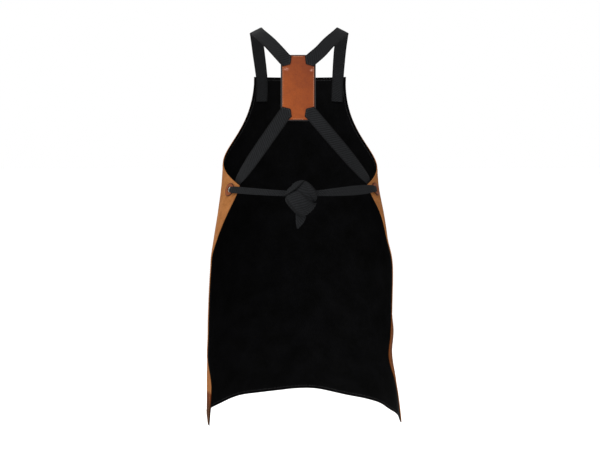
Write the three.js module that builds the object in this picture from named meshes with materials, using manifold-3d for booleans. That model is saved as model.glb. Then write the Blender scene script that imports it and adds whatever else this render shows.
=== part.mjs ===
// A suede work apron with cross-back webbing straps, in the form it keeps when it is worn and tied.
// Millimetres, +Z up. The bib faces +Y, so the crossed straps and the waist knot are on the -Y side.
// The origin lies midway between the two shoulder straps, under their highest points.

import * as THREE from "three";
import { mergeVertices } from "three/addons/utils/BufferGeometryUtils.js";
import Module from "manifold-3d";

const wasm = await Module();
wasm.setup();

// Driving dimensions

const GAP = 0.3; // clearance between pieces that lie on each other

const PANEL = {
  halfWidth: 345, // half of the cut width of the skirt
  bibHalfWidth: 118,
  bibTop: -105,
  waistCorner: -352, // level of the tab corners, where the armholes end
  hem: -890,
  suede: 1.6, // thickness of the suede
  lining: 1.0, // thickness of the lining cloth
  liningEdge: 1.0, // how far the lining shows past the suede
};

// The armhole is a cubic curve from the bib side to the tab corner, as half width and level.
const ARMHOLE = {
  start: { halfWidth: PANEL.bibHalfWidth, level: -122 },
  pullDown: { halfWidth: 126, level: -248 },
  pullOut: { halfWidth: 225, level: -304 },
  end: { halfWidth: PANEL.halfWidth, level: PANEL.waistCorner },
};

// Level sections that the panel wraps round: half ellipses in front of and behind their widest point.
// shift moves a section in X, front and widest are Y positions, back is a depth, and turn is how far the
// cloth is pulled round to the left.
const SECTIONS = [
  { level: -105, halfWidth: 165, shift: 0, front: 112, widest: -5, back: 110, turn: 0 },
  { level: -230, halfWidth: 178, shift: 0, front: 126, widest: -5, back: 118, turn: 4 },
  { level: -352, halfWidth: 186, shift: 0, front: 132, widest: -3, back: 128, turn: 9 },
  { level: -415, halfWidth: 195, shift: 1, front: 134, widest: -8, back: 150, turn: 9 },
  { level: -480, halfWidth: 204, shift: 1, front: 131, widest: -25, back: 190, turn: 7 },
  { level: -520, halfWidth: 208, shift: 1, front: 128, widest: -45, back: 240, turn: 4 },
  { level: -640, halfWidth: 214, shift: 2, front: 120, widest: -60, back: 300, turn: 2 },
  { level: -690, halfWidth: 218, shift: 5, front: 116, widest: -61, back: 300, turn: 1 },
  { level: -740, halfWidth: 218, shift: 1, front: 113, widest: -62, back: 300, turn: 0 },
  { level: -800, halfWidth: 224, shift: 1, front: 109, widest: -62, back: 300, turn: 0 },
  { level: -890, halfWidth: 229, shift: 4, front: 104, widest: -62, back: 300, turn: 0 },
];

// How the side edges hang: how far they drop below the centre, and how far they curl inwards.
const SIDE_EDGES = [
  { level: -105, dropLeft: 0, dropRight: 0, curlLeft: 0, curlRight: 0 },
  { level: -352, dropLeft: 10, dropRight: 8, curlLeft: 0, curlRight: -5 },
  { level: -415, dropLeft: 13, dropRight: 11, curlLeft: -6, curlRight: -12 },
  { level: -480, dropLeft: 16, dropRight: 13, curlLeft: -6, curlRight: -7 },
  { level: -540, dropLeft: 19, dropRight: 16, curlLeft: -2, curlRight: -7 },
  { level: -640, dropLeft: 24, dropRight: 20, curlLeft: -2, curlRight: 0 },
  { level: -690, dropLeft: 27, dropRight: 22, curlLeft: -3, curlRight: 9 },
  { level: -740, dropLeft: 30, dropRight: 25, curlLeft: -1, curlRight: 9 },
  { level: -800, dropLeft: 33, dropRight: 27, curlLeft: 12, curlRight: -1 },
  { level: -890, dropLeft: 38, dropRight: 30, curlLeft: 9, curlRight: -6 },
];
const CURL_REACH = 95; // width of cloth along each side edge that curls

// Soft folds that run down the skirt: place across the cloth, width, height at the hem and level of the top.
const FOLDS = [
  { across: -262, width: 34, height: 7, top: -560 },
  { across: -170, width: 40, height: 9, top: -520 },
  { across: -78, width: 44, height: -8, top: -600 },
  { across: 14, width: 46, height: 7, top: -560 },
  { across: 108, width: 42, height: -8, top: -520 },
  { across: 196, width: 40, height: 9, top: -540 },
  { across: 280, width: 32, height: 6, top: -600 },
];

const STRAP = { width: 30, thick: 1.5 };
const SHOULDER_X = -2; // the straps and the yoke hang a little left of the middle
const YOKE_X = -4;

const YOKE = {
  width: 73,
  height: 145,
  leather: 2.2,
  backing: 1.6,
  backingSide: 3, // the backing shows round the leather
  backingEnd: 2,
  corner: 2.5,
  lean: THREE.MathUtils.degToRad(4.7), // the top leans forward
  centre: new THREE.Vector3(YOKE_X, -119, -139.5),
};

// Waist eyelets: a leather washer and a metal barrel near each tab corner.
const EYELET = {
  fromEdge: 27,
  level: -364,
  bore: 6.4, // radii
  barrel: 7.0,
  flange: 9.6, // on the inside
  flangeThick: 1.0,
  endRound: 0.3, // the outer end, just under the washer
  clearance: 7.4,
  washerOuter: 14.7,
  washerInner: 7.2,
  washerThick: 2.4,
  washerLift: PANEL.suede + 0.6, // from the panel's inner face, clear of the suede's curve
  innerSeat: 1.1, // from the lining to the inner flange
};

// The waist knot: its middle, and where the ends of the ties lie in it.
const KNOT = { centre: new THREE.Vector3(1.5, -141, -386), tieSide: 27, tieIn: 10, tieUp: 8 };

// The curved panel

// Cubic interpolation of one column of a table whose rows run down from the top.
function column(rows, name, level) {
  let i = 0;
  while (i < rows.length - 2 && level < rows[i + 1].level) i++;
  const [before, from, to, after] = [i - 1, i, i + 1, i + 2].map(
    (k) => rows[THREE.MathUtils.clamp(k, 0, rows.length - 1)],
  );
  const span = to.level - from.level;
  const slope = (a, b) => (b.level === a.level ? 0 : (b[name] - a[name]) / (b.level - a.level));
  const t = THREE.MathUtils.clamp((level - from.level) / span, 0, 1);
  const t2 = t * t;
  const t3 = t2 * t;
  return (
    from[name] * (2 * t3 - 3 * t2 + 1) +
    slope(before, to) * span * (t3 - 2 * t2 + t) +
    to[name] * (3 * t2 - 2 * t3) +
    slope(from, after) * span * (t3 - t2)
  );
}

// Where a length of cloth measured from the middle of the front ends up on a level section.
function onSection(level, length) {
  const halfWidth = column(SECTIONS, "halfWidth", level);
  const shift = column(SECTIONS, "shift", level);
  const widest = column(SECTIONS, "widest", level);
  const front = column(SECTIONS, "front", level) - widest;
  const back = column(SECTIONS, "back", level);
  const at = (angle) => [
    halfWidth * Math.sin(angle),
    widest + (angle < Math.PI / 2 ? front : back) * Math.cos(angle),
  ];
  const step = Math.PI / 180;
  const side = Math.sign(length) || 1;
  let left = Math.abs(length);
  let angle = 0;
  let [x, y] = at(angle);
  for (;;) {
    const [nextX, nextY] = at(angle + step);
    const run = Math.hypot(nextX - x, nextY - y);
    if (run >= left) {
      const share = left / run;
      return new THREE.Vector2(shift + side * (x + (nextX - x) * share), y + (nextY - y) * share);
    }
    left -= run;
    angle += step;
    [x, y] = [nextX, nextY];
  }
}

// A point of the panel's inner suede face, from its place on the cut cloth.
function panelPoint(across, level) {
  const hand = across < 0 ? "Left" : "Right";
  const length = across - column(SECTIONS, "turn", level);
  const place = onSection(level, length);
  const ahead = onSection(level, length + 1);
  const outward = new THREE.Vector2(-(ahead.y - place.y), ahead.x - place.x).normalize();
  const reach = Math.max(0, Math.abs(across) - PANEL.halfWidth + CURL_REACH) / CURL_REACH;
  const curl = column(SIDE_EDGES, `curl${hand}`, level) * reach * reach;
  let raise = -curl;
  for (const fold of FOLDS) {
    const grown = THREE.MathUtils.smoothstep(fold.top - level, 0, fold.top - PANEL.hem);
    raise += fold.height * grown * Math.exp(-(((across - fold.across) / fold.width) ** 2));
  }
  place.addScaledVector(outward, raise);
  const share = Math.abs(across) / PANEL.halfWidth;
  const toEdge = across < 0 ? share ** 2 : THREE.MathUtils.smoothstep(share, 0, 1); // the right hangs lower
  const drop = column(SIDE_EDGES, `drop${hand}`, level) * toEdge;
  return new THREE.Vector3(place.x, place.y, level - drop);
}

// The same point with the panel's outward normal, moved out by an offset.
function panelFrame(across, level, out = 0) {
  const delta = 2;
  const sideways = panelPoint(across + delta, level).sub(panelPoint(across - delta, level));
  const down = panelPoint(across, level - delta).sub(panelPoint(across, level + delta));
  const normal = new THREE.Vector3().crossVectors(sideways, down).normalize();
  return { point: panelPoint(across, level).addScaledVector(normal, out), normal };
}

const armhole = new THREE.CubicBezierCurve(
  ...["start", "pullDown", "pullOut", "end"].map(
    (key) => new THREE.Vector2(ARMHOLE[key].halfWidth, ARMHOLE[key].level),
  ),
);

// Half width of the cut cloth at a level.
function cutHalfWidth(level) {
  if (level >= ARMHOLE.start.level) return PANEL.bibHalfWidth;
  if (level <= PANEL.waistCorner) return PANEL.halfWidth;
  let low = 0;
  let high = 1;
  for (let i = 0; i < 30; i++) {
    const middle = (low + high) / 2;
    if (armhole.getPoint(middle).y > level) low = middle;
    else high = middle;
  }
  return armhole.getPoint(low).x;
}

// Levels of the rows of facets: even steps along the armhole, then steps that grow down the skirt.
function rowLevels(bibRows, skirtRows) {
  const levels = [PANEL.bibTop];
  for (let i = 0; i < bibRows; i++) levels.push(armhole.getPoint(i / bibRows).y);
  for (let i = 0; i <= skirtRows; i++) {
    levels.push(THREE.MathUtils.lerp(PANEL.waistCorner, PANEL.hem, (i / skirtRows) ** 1.3));
  }
  return levels;
}

const BIB_ROWS = 9;
const SKIRT_ROWS = 13;
const COLUMNS = 34;

// A closed sheet between two offsets from the panel, grown past the cut edge by a margin.
function sheetGeometry(innerOffset, outerOffset, margin) {
  const levels = rowLevels(BIB_ROWS, SKIRT_ROWS);
  levels[0] += margin;
  levels[levels.length - 1] -= margin;
  const layers = [innerOffset, outerOffset].map((offset) =>
    levels.map((level) => {
      const half = cutHalfWidth(level);
      return Array.from({ length: COLUMNS + 1 }, (_, i) => {
        const share = (2 * i) / COLUMNS - 1;
        const grown = Math.abs(share) === 1 ? half + margin : half;
        return panelFrame(grown * share, level, offset).point;
      });
    }),
  );
  return closedSheet(layers[0], layers[1]);
}

// A solid from two matching grids of points, the first one on the inside.
function closedSheet(inner, outer) {
  const rows = outer.length;
  const columns = outer[0].length;
  const positions = [...outer.flat(), ...inner.flat()].flatMap((p) => p.toArray());
  const index = [];
  const front = (row, col) => row * columns + col;
  const rear = (row, col) => rows * columns + front(row, col);
  const quad = (a, b, c, d) => index.push(a, b, c, a, c, d);
  for (let r = 0; r + 1 < rows; r++) {
    for (let c = 0; c + 1 < columns; c++) {
      quad(front(r, c), front(r, c + 1), front(r + 1, c + 1), front(r + 1, c));
      quad(rear(r, c), rear(r + 1, c), rear(r + 1, c + 1), rear(r, c + 1));
    }
    quad(front(r, 0), front(r + 1, 0), rear(r + 1, 0), rear(r, 0));
    const last = columns - 1;
    quad(front(r, last), rear(r, last), rear(r + 1, last), front(r + 1, last));
  }
  for (let c = 0; c + 1 < columns; c++) {
    quad(front(0, c), rear(0, c), rear(0, c + 1), front(0, c + 1));
    const last = rows - 1;
    quad(front(last, c), front(last, c + 1), rear(last, c + 1), rear(last, c));
  }
  return new THREE.BufferGeometry()
    .setAttribute("position", new THREE.Float32BufferAttribute(positions, 3))
    .setIndex(index);
}

// Joining and cutting

function solidFrom(geometry) {
  const bare = new THREE.BufferGeometry().setAttribute("position", geometry.getAttribute("position"));
  if (geometry.index) bare.setIndex(geometry.index);
  const merged = mergeVertices(bare, 1e-4);
  return new wasm.Manifold(
    new wasm.Mesh({
      numProp: 3,
      vertProperties: new Float32Array(merged.attributes.position.array),
      triVerts: new Uint32Array(merged.index.array),
    }),
  );
}

function geometryFrom(solid) {
  const mesh = solid.getMesh();
  return new THREE.BufferGeometry()
    .setAttribute("position", new THREE.BufferAttribute(new Float32Array(mesh.vertProperties), 3))
    .setIndex(new THREE.BufferAttribute(new Uint32Array(mesh.triVerts), 1));
}

// Webbing

// A strip swept through stations of point, normal, width and thickness. Its faces lie across the normal.
function ribbonGeometry(stations, steps) {
  const path = new THREE.CatmullRomCurve3(stations.map((s) => s.point), false, "centripetal");
  const between = (t, pick) => {
    const place = t * (stations.length - 1);
    const i = Math.min(Math.floor(place), stations.length - 2);
    return pick(stations[i], stations[i + 1], place - i);
  };
  const corners = [];
  for (let i = 0; i <= steps; i++) {
    const t = i / steps;
    const point = path.getPoint(t);
    const along = path.getTangent(t);
    const normal = between(t, (a, b, f) => a.normal.clone().lerp(b.normal, f));
    normal.addScaledVector(along, -normal.dot(along)).normalize();
    const across = new THREE.Vector3().crossVectors(normal, along);
    const half = between(t, (a, b, f) => THREE.MathUtils.lerp(a.width, b.width, f)) / 2;
    const thin = between(t, (a, b, f) => THREE.MathUtils.lerp(a.thick, b.thick, f)) / 2;
    for (const [u, v] of [[-half, -thin], [half, -thin], [half, thin], [-half, thin]]) {
      corners.push(point.clone().addScaledVector(across, u).addScaledVector(normal, v));
    }
  }
  return sweptSolid(corners, 4, false);
}

// A solid from rings of points in order. An open sweep gets end caps, a closed one joins its first ring.
function sweptSolid(points, sides, closed) {
  const rings = points.length / sides;
  const index = [];
  for (let r = 0; r < (closed ? rings : rings - 1); r++) {
    for (let k = 0; k < sides; k++) {
      const a = r * sides + k;
      const b = r * sides + ((k + 1) % sides);
      const c = ((r + 1) % rings) * sides + ((k + 1) % sides);
      const d = ((r + 1) % rings) * sides + k;
      index.push(a, b, c, a, c, d);
    }
  }
  if (!closed) {
    const last = (rings - 1) * sides;
    for (let k = 1; k + 1 < sides; k++) {
      index.push(0, k + 1, k, last, last + k, last + k + 1);
    }
  }
  return new THREE.BufferGeometry()
    .setAttribute("position", new THREE.Float32BufferAttribute(points.flatMap((p) => p.toArray()), 3))
    .setIndex(index);
}

// Yoke: the leather patch where the four straps meet, and the black backing behind it

const yokeNormal = new THREE.Vector3(0, -Math.cos(YOKE.lean), Math.sin(YOKE.lean));
const yokeUp = new THREE.Vector3(0, Math.sin(YOKE.lean), Math.cos(YOKE.lean));
const yokeStack = YOKE.backing + GAP + YOKE.leather + GAP; // from the inner face to the straps

function yokePoint(right, up, out) {
  return YOKE.centre
    .clone()
    .add(new THREE.Vector3(right, 0, 0))
    .addScaledVector(yokeUp, up)
    .addScaledVector(yokeNormal, out);
}

function yokeLayer(width, height, thick, out) {
  const [x, y, r] = [width / 2, height / 2, YOKE.corner];
  const outline = new THREE.Shape()
    .moveTo(-x + r, -y)
    .lineTo(x - r, -y)
    .absarc(x - r, -y + r, r, -Math.PI / 2, 0)
    .lineTo(x, y - r)
    .absarc(x - r, y - r, r, 0, Math.PI / 2)
    .lineTo(-x + r, y)
    .absarc(-x + r, y - r, r, Math.PI / 2, Math.PI)
    .lineTo(-x, -y + r)
    .absarc(-x + r, -y + r, r, Math.PI, 1.5 * Math.PI);
  const extrusion = { depth: thick, bevelEnabled: false, curveSegments: 3 };
  const geometry = new THREE.ExtrudeGeometry(outline, extrusion);
  const right = new THREE.Vector3(1, 0, 0);
  const turned = new THREE.Matrix4().makeBasis(right, yokeUp, yokeNormal).setPosition(yokePoint(0, 0, out));
  return geometry.applyMatrix4(turned);
}

// Shoulder straps: from inside the bib, over the top and down to the yoke's upper corners

// Free stations of the left strap: how far out from the middle, Y, Z and the way its outer face looks.
const SHOULDER_ROUTE = [
  { out: 99, y: 66, z: -45, normal: [-0.2, 0.75, 0.6] },
  { out: 103, y: 27, z: -7, normal: [-0.38, 0.42, 0.82] },
  { out: 103, y: -6, z: 0, normal: [-0.46, 0, 0.89] },
  { out: 92, y: -47, z: -12, normal: [-0.38, -0.5, 0.78] },
  { out: 67.5, y: -92, z: -36, normal: [-0.2, -0.84, 0.5] },
  { out: 46.5, y: -118.5, z: -59.5, normal: [-0.03, -0.98, 0.17] },
];
const BIB_END = { across: 98, low: -163, high: -118, out: -4 }; // flat inside the bib's curve
const SHOULDER_STEPS = 30;

function strapStation(point, normal, width = STRAP.width, thick = STRAP.thick) {
  return { point, normal, width, thick };
}

// Where the straps' pointed ends lie on the yoke, measured from its middle.
const YOKE_TOP_END = { right: 30, up: 64, tipRight: 18, tipUp: 53.5 };
const YOKE_LOW_END = { right: 30, up: -59, tipRight: 18, tipUp: -48 };
const POINT = { length: 9, width: 3 }; // length of the taper, and the width left at its tip

// The last stations of a strap on the yoke, from the yoke's corner to the tip.
function pointedEnd(end, side) {
  const out = yokeStack + STRAP.thick / 2;
  const corner = yokePoint(side * end.right, end.up, out);
  const tip = yokePoint(side * end.tipRight, end.tipUp, out);
  const taper = tip.clone().addScaledVector(corner.clone().sub(tip).normalize(), POINT.length);
  return [
    strapStation(corner, yokeNormal),
    strapStation(taper, yokeNormal),
    strapStation(tip, yokeNormal, POINT.width),
  ];
}

function shoulderStrap(side) {
  const onBib = [BIB_END.low, BIB_END.high].map((level) => {
    const frame = panelFrame(side * BIB_END.across, level, BIB_END.out);
    return strapStation(frame.point, frame.normal);
  });
  const free = SHOULDER_ROUTE.map((row) =>
    strapStation(
      new THREE.Vector3(SHOULDER_X + side * row.out, row.y, row.z),
      new THREE.Vector3(-side * row.normal[0], row.normal[1], row.normal[2]),
    ),
  );
  return ribbonGeometry([...onBib, ...free, ...pointedEnd(YOKE_TOP_END, side)], SHOULDER_STEPS);
}

// Waist straps: from the yoke's lower corners to the tabs, out through the eyelets and back to the knot

// The way down the back, as a share of the run from the yoke to the tab. bulge stands off the straight line.
const BACK_RUN = [
  { share: 0.12, bulge: 10, width: 30, thick: 1.5 },
  { share: 0.25, bulge: 17, width: 30, thick: 1.5 },
  { share: 0.5, bulge: 20, width: 30, thick: 1.5 },
  { share: 0.72, bulge: 17, width: 30, thick: 1.5 },
  { share: 0.9, bulge: 8, width: 27, thick: 1.7 },
];

// Round the tab, in panel places: down its inner face, out through the bore and back over its outer face.
const TAB_RUN = [
  { fromEdge: 11, level: -341, out: -4.2, width: 21, thick: 2.2, facing: 1 },
  { fromEdge: 18, level: -352, out: -6.6, width: 14, thick: 2.6, facing: 1 },
  { fromEdge: 22.8, level: -362, out: -7.4, width: 9, thick: 2.6, facing: 1 },
  { fromEdge: 24, level: -364, out: -3.4, width: 7.8, thick: 2.2, facing: 0 },
  { fromEdge: 24.1, level: -364, out: 2.2, width: 7.6, thick: 2.2, facing: 0 },
  { fromEdge: 22.9, level: -364, out: 5.8, width: 8.2, thick: 2.2, facing: -0.4 },
  { fromEdge: 19.4, level: -364, out: 7.3, width: 11.5, thick: 2.2, facing: -0.9 },
  { fromEdge: 14.5, level: -364, out: 7.7, width: 14.5, thick: 2.4, facing: -1 },
  { fromEdge: 7, level: -363.5, out: 8.2, width: 15.5, thick: 2.6, facing: -1 },
];

// The tie from the tab to the knot, as a share of that run. The right tie lies opened out most of the way.
const TIE_RUN = [
  { share: 0.12, bulge: 4, left: 15.5, right: 21, thick: 3 },
  { share: 0.35, bulge: 10, left: 15, right: 22, thick: 3 },
  { share: 0.65, bulge: 10, left: 14, right: 18, thick: 3 },
  { share: 1, bulge: 0, left: 12.4, right: 11, thick: 3.4 },
];

const WAIST_STEPS = 80;

function waistStations(side) {
  const end = pointedEnd(YOKE_LOW_END, side).reverse();
  const corner = end[end.length - 1].point;
  const toBack = new THREE.Vector3(0, -1, 0);
  const tab = TAB_RUN.map((row) => {
    const across = side * (PANEL.halfWidth - row.fromEdge);
    const { point, normal } = panelFrame(across, row.level, row.out);
    const edgeward = panelPoint(across + side, row.level).sub(panelPoint(across, row.level)).normalize();
    const facing = normal.multiplyScalar(row.facing).addScaledVector(edgeward, 1 - Math.abs(row.facing));
    return strapStation(point, facing.normalize(), row.width, row.thick);
  });
  const back = BACK_RUN.map((row) =>
    strapStation(
      corner.clone().lerp(tab[0].point, row.share).addScaledVector(toBack, row.bulge),
      yokeNormal.clone().lerp(tab[0].normal, row.share ** 2).normalize(),
      row.width,
      row.thick,
    ),
  );
  const lastOnTab = tab[tab.length - 1];
  const atKnot = KNOT.centre.clone().add(new THREE.Vector3(side * KNOT.tieSide, KNOT.tieIn, KNOT.tieUp));
  const tie = TIE_RUN.map((row) =>
    strapStation(
      lastOnTab.point.clone().lerp(atKnot, row.share).addScaledVector(toBack, row.bulge),
      lastOnTab.normal.clone().lerp(toBack.clone().negate(), row.share).normalize(),
      side < 0 ? row.left : row.right,
      row.thick,
    ),
  );
  return [...end, ...back, ...tab, ...tie];
}

// A waist strap, grown by a margin all round and at its end in the knot.
function waistStrap(side, margin = 0) {
  const stations = waistStations(side).map((station) => ({
    ...station,
    width: station.width + 2 * margin,
    thick: station.thick + 2 * margin,
  }));
  const [before, last] = stations.slice(-2).map((station) => station.point);
  last.addScaledVector(last.clone().sub(before).normalize(), margin);
  return ribbonGeometry(stations, WAIST_STEPS);
}

// Eyelets and washers on the tabs

const WASHER_SIDES = 24;
const ROUND_STEPS = 20;
const PLUG_LENGTH = 24;

// A leather ring that follows the tab's curve.
function washerGeometry(side) {
  const low = EYELET.washerLift;
  const high = low + EYELET.washerThick;
  const points = [];
  for (let i = 0; i < WASHER_SIDES; i++) {
    const angle = (side * 2 * Math.PI * i) / WASHER_SIDES;
    const ring = [
      [EYELET.washerOuter, low],
      [EYELET.washerOuter, high],
      [EYELET.washerInner, high],
      [EYELET.washerInner, low],
    ];
    for (const [radius, out] of ring) {
      const across = side * (PANEL.halfWidth - EYELET.fromEdge + radius * Math.cos(angle));
      points.push(panelFrame(across, EYELET.level + radius * Math.sin(angle), out).point);
    }
  }
  return sweptSolid(points, 4, true);
}

// A frame whose Y axis is the panel's outward normal at an eyelet.
function eyeletMatrix(side) {
  const { point, normal } = panelFrame(side * (PANEL.halfWidth - EYELET.fromEdge), EYELET.level);
  const turn = new THREE.Quaternion().setFromUnitVectors(new THREE.Vector3(0, 1, 0), normal);
  return new THREE.Matrix4().compose(point, turn, new THREE.Vector3(1, 1, 1));
}

function eyeletGeometry(side) {
  const top = EYELET.washerLift - GAP;
  const bottom = -(GAP + PANEL.lining + EYELET.innerSeat);
  const { bore, barrel, flange, flangeThick, endRound } = EYELET;
  const profile = [
    [bore, bottom - flangeThick],
    [flange, bottom - flangeThick],
    [flange, bottom],
    [barrel, bottom],
    [barrel, top - endRound],
    [(bore + barrel) / 2, top],
    [bore, top - endRound],
    [bore, bottom - flangeThick],
  ].map(([radius, height]) => new THREE.Vector2(radius, height));
  return new THREE.LatheGeometry(profile, ROUND_STEPS).applyMatrix4(eyeletMatrix(side));
}

// The hole for an eyelet, as a plug to take out of the suede and the lining.
function eyeletPlug(side) {
  const plug = new THREE.CylinderGeometry(EYELET.clearance, EYELET.clearance, PLUG_LENGTH, ROUND_STEPS);
  return plug.applyMatrix4(eyeletMatrix(side));
}

function panelSheet(innerOffset, outerOffset, margin) {
  let solid = solidFrom(sheetGeometry(innerOffset, outerOffset, margin));
  for (const side of [-1, 1]) solid = solid.subtract(solidFrom(eyeletPlug(side)));
  return geometryFrom(solid);
}

// Knot: wraps of webbing round a core, and one short end that hangs below

// The wraps lie side by side on a slant. Each is a closed band, with the place of its middle across and along
// the slant and out from the back, how far it reaches up and down the slant, its half depth, its folded width
// and thickness, and the width of its lower end as a share of that. Its left edge runs straight down.
const WRAP_LEAN = THREE.MathUtils.degToRad(42.6);
const WRAPS = [
  { across: 21, along: -1, out: -5, up: 27, down: 29, depth: 18, width: 31, thick: 9, tail: 0.7 },
  { across: -9, along: -5, out: 3, up: 33, down: 35, depth: 23, width: 40, thick: 10, tail: 1.18 },
  { across: -22, along: -6, out: -1, up: 30, down: 27, depth: 17, width: 22, thick: 9, tail: 0.6 },
];
const WRAP_HEAD = 0.75; // the same share at the upper ends
const CORE = { halfWidth: 29, halfHeight: 38, halfDepth: 18 };
const WRAP_STEPS = 18;

function knotPoint(right, up, out) {
  return KNOT.centre.clone().add(new THREE.Vector3(right, -out, up));
}

function wrapGeometry(wrap) {
  const axis = new THREE.Vector3(Math.cos(WRAP_LEAN), 0, Math.sin(WRAP_LEAN));
  const rise = new THREE.Vector3(-Math.sin(WRAP_LEAN), 0, Math.cos(WRAP_LEAN));
  const outward = new THREE.Vector3(0, -1, 0);
  const middle = knotPoint(0, 0, wrap.out);
  middle.addScaledVector(axis, wrap.across).addScaledVector(rise, wrap.along);
  const [w, t] = [wrap.width / 2, wrap.thick / 2];
  // A band's section: thin edges and a rounded outer face.
  const section = [[-w, -t], [w, -t], [w, t * 0.2], [w * 0.55, t], [-w * 0.55, t], [-w, t * 0.2]];
  const points = [];
  for (let i = 0; i < WRAP_STEPS; i++) {
    const angle = (2 * Math.PI * i) / WRAP_STEPS;
    const radial = rise.clone().multiplyScalar(Math.cos(angle)).addScaledVector(outward, Math.sin(angle));
    const [reach, kept] = Math.cos(angle) > 0 ? [wrap.up, WRAP_HEAD] : [wrap.down, wrap.tail];
    const centre = middle
      .clone()
      .addScaledVector(rise, (reach - t) * Math.cos(angle))
      .addScaledVector(outward, (wrap.depth - t) * Math.sin(angle));
    const spread = THREE.MathUtils.lerp(kept, 1, Math.abs(Math.sin(angle)));
    const aside = Math.cos(angle) > 0 ? 0 : (spread - 1) * w;
    for (const [u, v] of section) {
      points.push(centre.clone().addScaledVector(axis, u * spread + aside).addScaledVector(radial, v));
    }
  }
  return sweptSolid(points, section.length, true);
}

// Two strips from the knot's middle: the fold over the wraps' upper ends, and the loose end cut on the slant.
const KNOT_FOLD = {
  facing: new THREE.Vector3(-0.45, -0.7, 0.55).normalize(),
  thick: 4.5,
  run: [
    { right: -34, up: 9, out: -2, width: 12 },
    { right: -29, up: 13, out: 9, width: 13 },
    { right: -15, up: 24, out: 15, width: 14 },
    { right: -3, up: 34, out: 9, width: 14 },
    { right: 4, up: 37, out: -2, width: 12 },
  ],
};
const KNOT_END = {
  facing: new THREE.Vector3(0.25, -1, 0).normalize(),
  thick: 3,
  run: [
    { right: 0, up: -22, out: 4, width: 24 },
    { right: 0, up: -45, out: 7, width: 24 },
    { right: -3, up: -57, out: 8, width: 17 },
    { right: -7, up: -70, out: 7, width: 3 },
  ],
};
const KNOT_STRIP_STEPS = 9;

function knotGeometry() {
  const core = new THREE.SphereGeometry(1, 14, 8).scale(CORE.halfWidth, CORE.halfDepth, CORE.halfHeight);
  let solid = solidFrom(core.translate(...KNOT.centre.toArray()));
  for (const wrap of WRAPS) solid = solid.add(solidFrom(wrapGeometry(wrap)));
  for (const { facing, thick, run } of [KNOT_FOLD, KNOT_END]) {
    const stations = run.map((row) =>
      strapStation(knotPoint(row.right, row.up, row.out), facing, row.width, thick),
    );
    solid = solid.add(solidFrom(ribbonGeometry(stations, KNOT_STRIP_STEPS)));
  }
  // The ties run into the knot, which leaves room for them.
  for (const side of [-1, 1]) solid = solid.subtract(solidFrom(waistStrap(side, GAP)));
  return geometryFrom(solid);
}

// Finishes, and the assembly

const FINISH = {
  suede: { color: 0xa56c41, roughness: 0.95, metalness: 0 },
  leather: { color: 0x954c27, roughness: 0.5, metalness: 0 },
  washer: { color: 0x6c3a22, roughness: 0.6, metalness: 0 },
  lining: { color: 0x0c0c0c, roughness: 0.9, metalness: 0 },
  webbing: { color: 0x1c1d1f, roughness: 0.85, metalness: 0 },
  nickel: { color: 0xc9c7c2, roughness: 0.3, metalness: 1 },
};

function piece(name, geometry, finish) {
  const mesh = new THREE.Mesh(geometry, new THREE.MeshStandardMaterial(FINISH[finish]));
  mesh.name = name;
  return mesh;
}

const apron = new THREE.Group();

const body = new THREE.Group();
body.add(
  piece("suede_panel", panelSheet(0, PANEL.suede, 0), "suede"),
  piece("lining", panelSheet(-GAP - PANEL.lining, -GAP, PANEL.liningEdge), "lining"),
);

const yoke = new THREE.Group();
const backingWidth = YOKE.width + 2 * YOKE.backingSide;
const backingHeight = YOKE.height + 2 * YOKE.backingEnd;
yoke.add(
  piece("yoke_backing", yokeLayer(backingWidth, backingHeight, YOKE.backing, 0), "lining"),
  piece("yoke_patch", yokeLayer(YOKE.width, YOKE.height, YOKE.leather, YOKE.backing + GAP), "leather"),
);

const straps = new THREE.Group();
for (const [word, side] of [["left", -1], ["right", 1]]) {
  straps.add(
    piece(`shoulder_strap_${word}`, shoulderStrap(side), "webbing"),
    piece(`waist_strap_${word}`, waistStrap(side), "webbing"),
    piece(`washer_${word}`, washerGeometry(side), "washer"),
    piece(`eyelet_${word}`, eyeletGeometry(side), "nickel"),
  );
}
straps.add(piece("waist_knot", knotGeometry(), "webbing"));

apron.add(body, yoke, straps);

export default apron;
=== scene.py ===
# A suede work apron on webbing straps, in the form it keeps when it is tied on.

import math

import bpy
import numpy as np
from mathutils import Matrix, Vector
from mathutils.kdtree import KDTree


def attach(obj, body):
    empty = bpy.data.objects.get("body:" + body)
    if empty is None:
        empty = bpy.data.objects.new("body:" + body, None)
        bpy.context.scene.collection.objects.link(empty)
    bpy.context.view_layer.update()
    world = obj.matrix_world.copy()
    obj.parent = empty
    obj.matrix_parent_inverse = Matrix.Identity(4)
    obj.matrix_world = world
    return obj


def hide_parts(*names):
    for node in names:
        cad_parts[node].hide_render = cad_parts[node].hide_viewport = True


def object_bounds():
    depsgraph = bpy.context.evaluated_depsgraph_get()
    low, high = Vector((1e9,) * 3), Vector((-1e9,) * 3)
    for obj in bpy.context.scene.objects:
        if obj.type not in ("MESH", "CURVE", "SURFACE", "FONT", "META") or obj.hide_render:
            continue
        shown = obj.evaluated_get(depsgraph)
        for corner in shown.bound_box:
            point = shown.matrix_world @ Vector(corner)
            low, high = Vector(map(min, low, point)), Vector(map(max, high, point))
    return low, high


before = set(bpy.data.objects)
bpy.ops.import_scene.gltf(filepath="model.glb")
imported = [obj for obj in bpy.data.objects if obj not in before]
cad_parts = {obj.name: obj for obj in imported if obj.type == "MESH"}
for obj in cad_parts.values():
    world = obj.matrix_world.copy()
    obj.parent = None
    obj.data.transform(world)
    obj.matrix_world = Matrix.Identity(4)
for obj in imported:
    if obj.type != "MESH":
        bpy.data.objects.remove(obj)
cad_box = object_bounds()
scene = bpy.context.scene
scene.view_settings.view_transform = "Standard"


# Camera, lamps and floor
# A white studio: one very broad light from above and behind the camera, two weaker lamps, and soft light
# all round. The camera stands behind the apron and looks down a little on it, over a plain pale floor.

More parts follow.
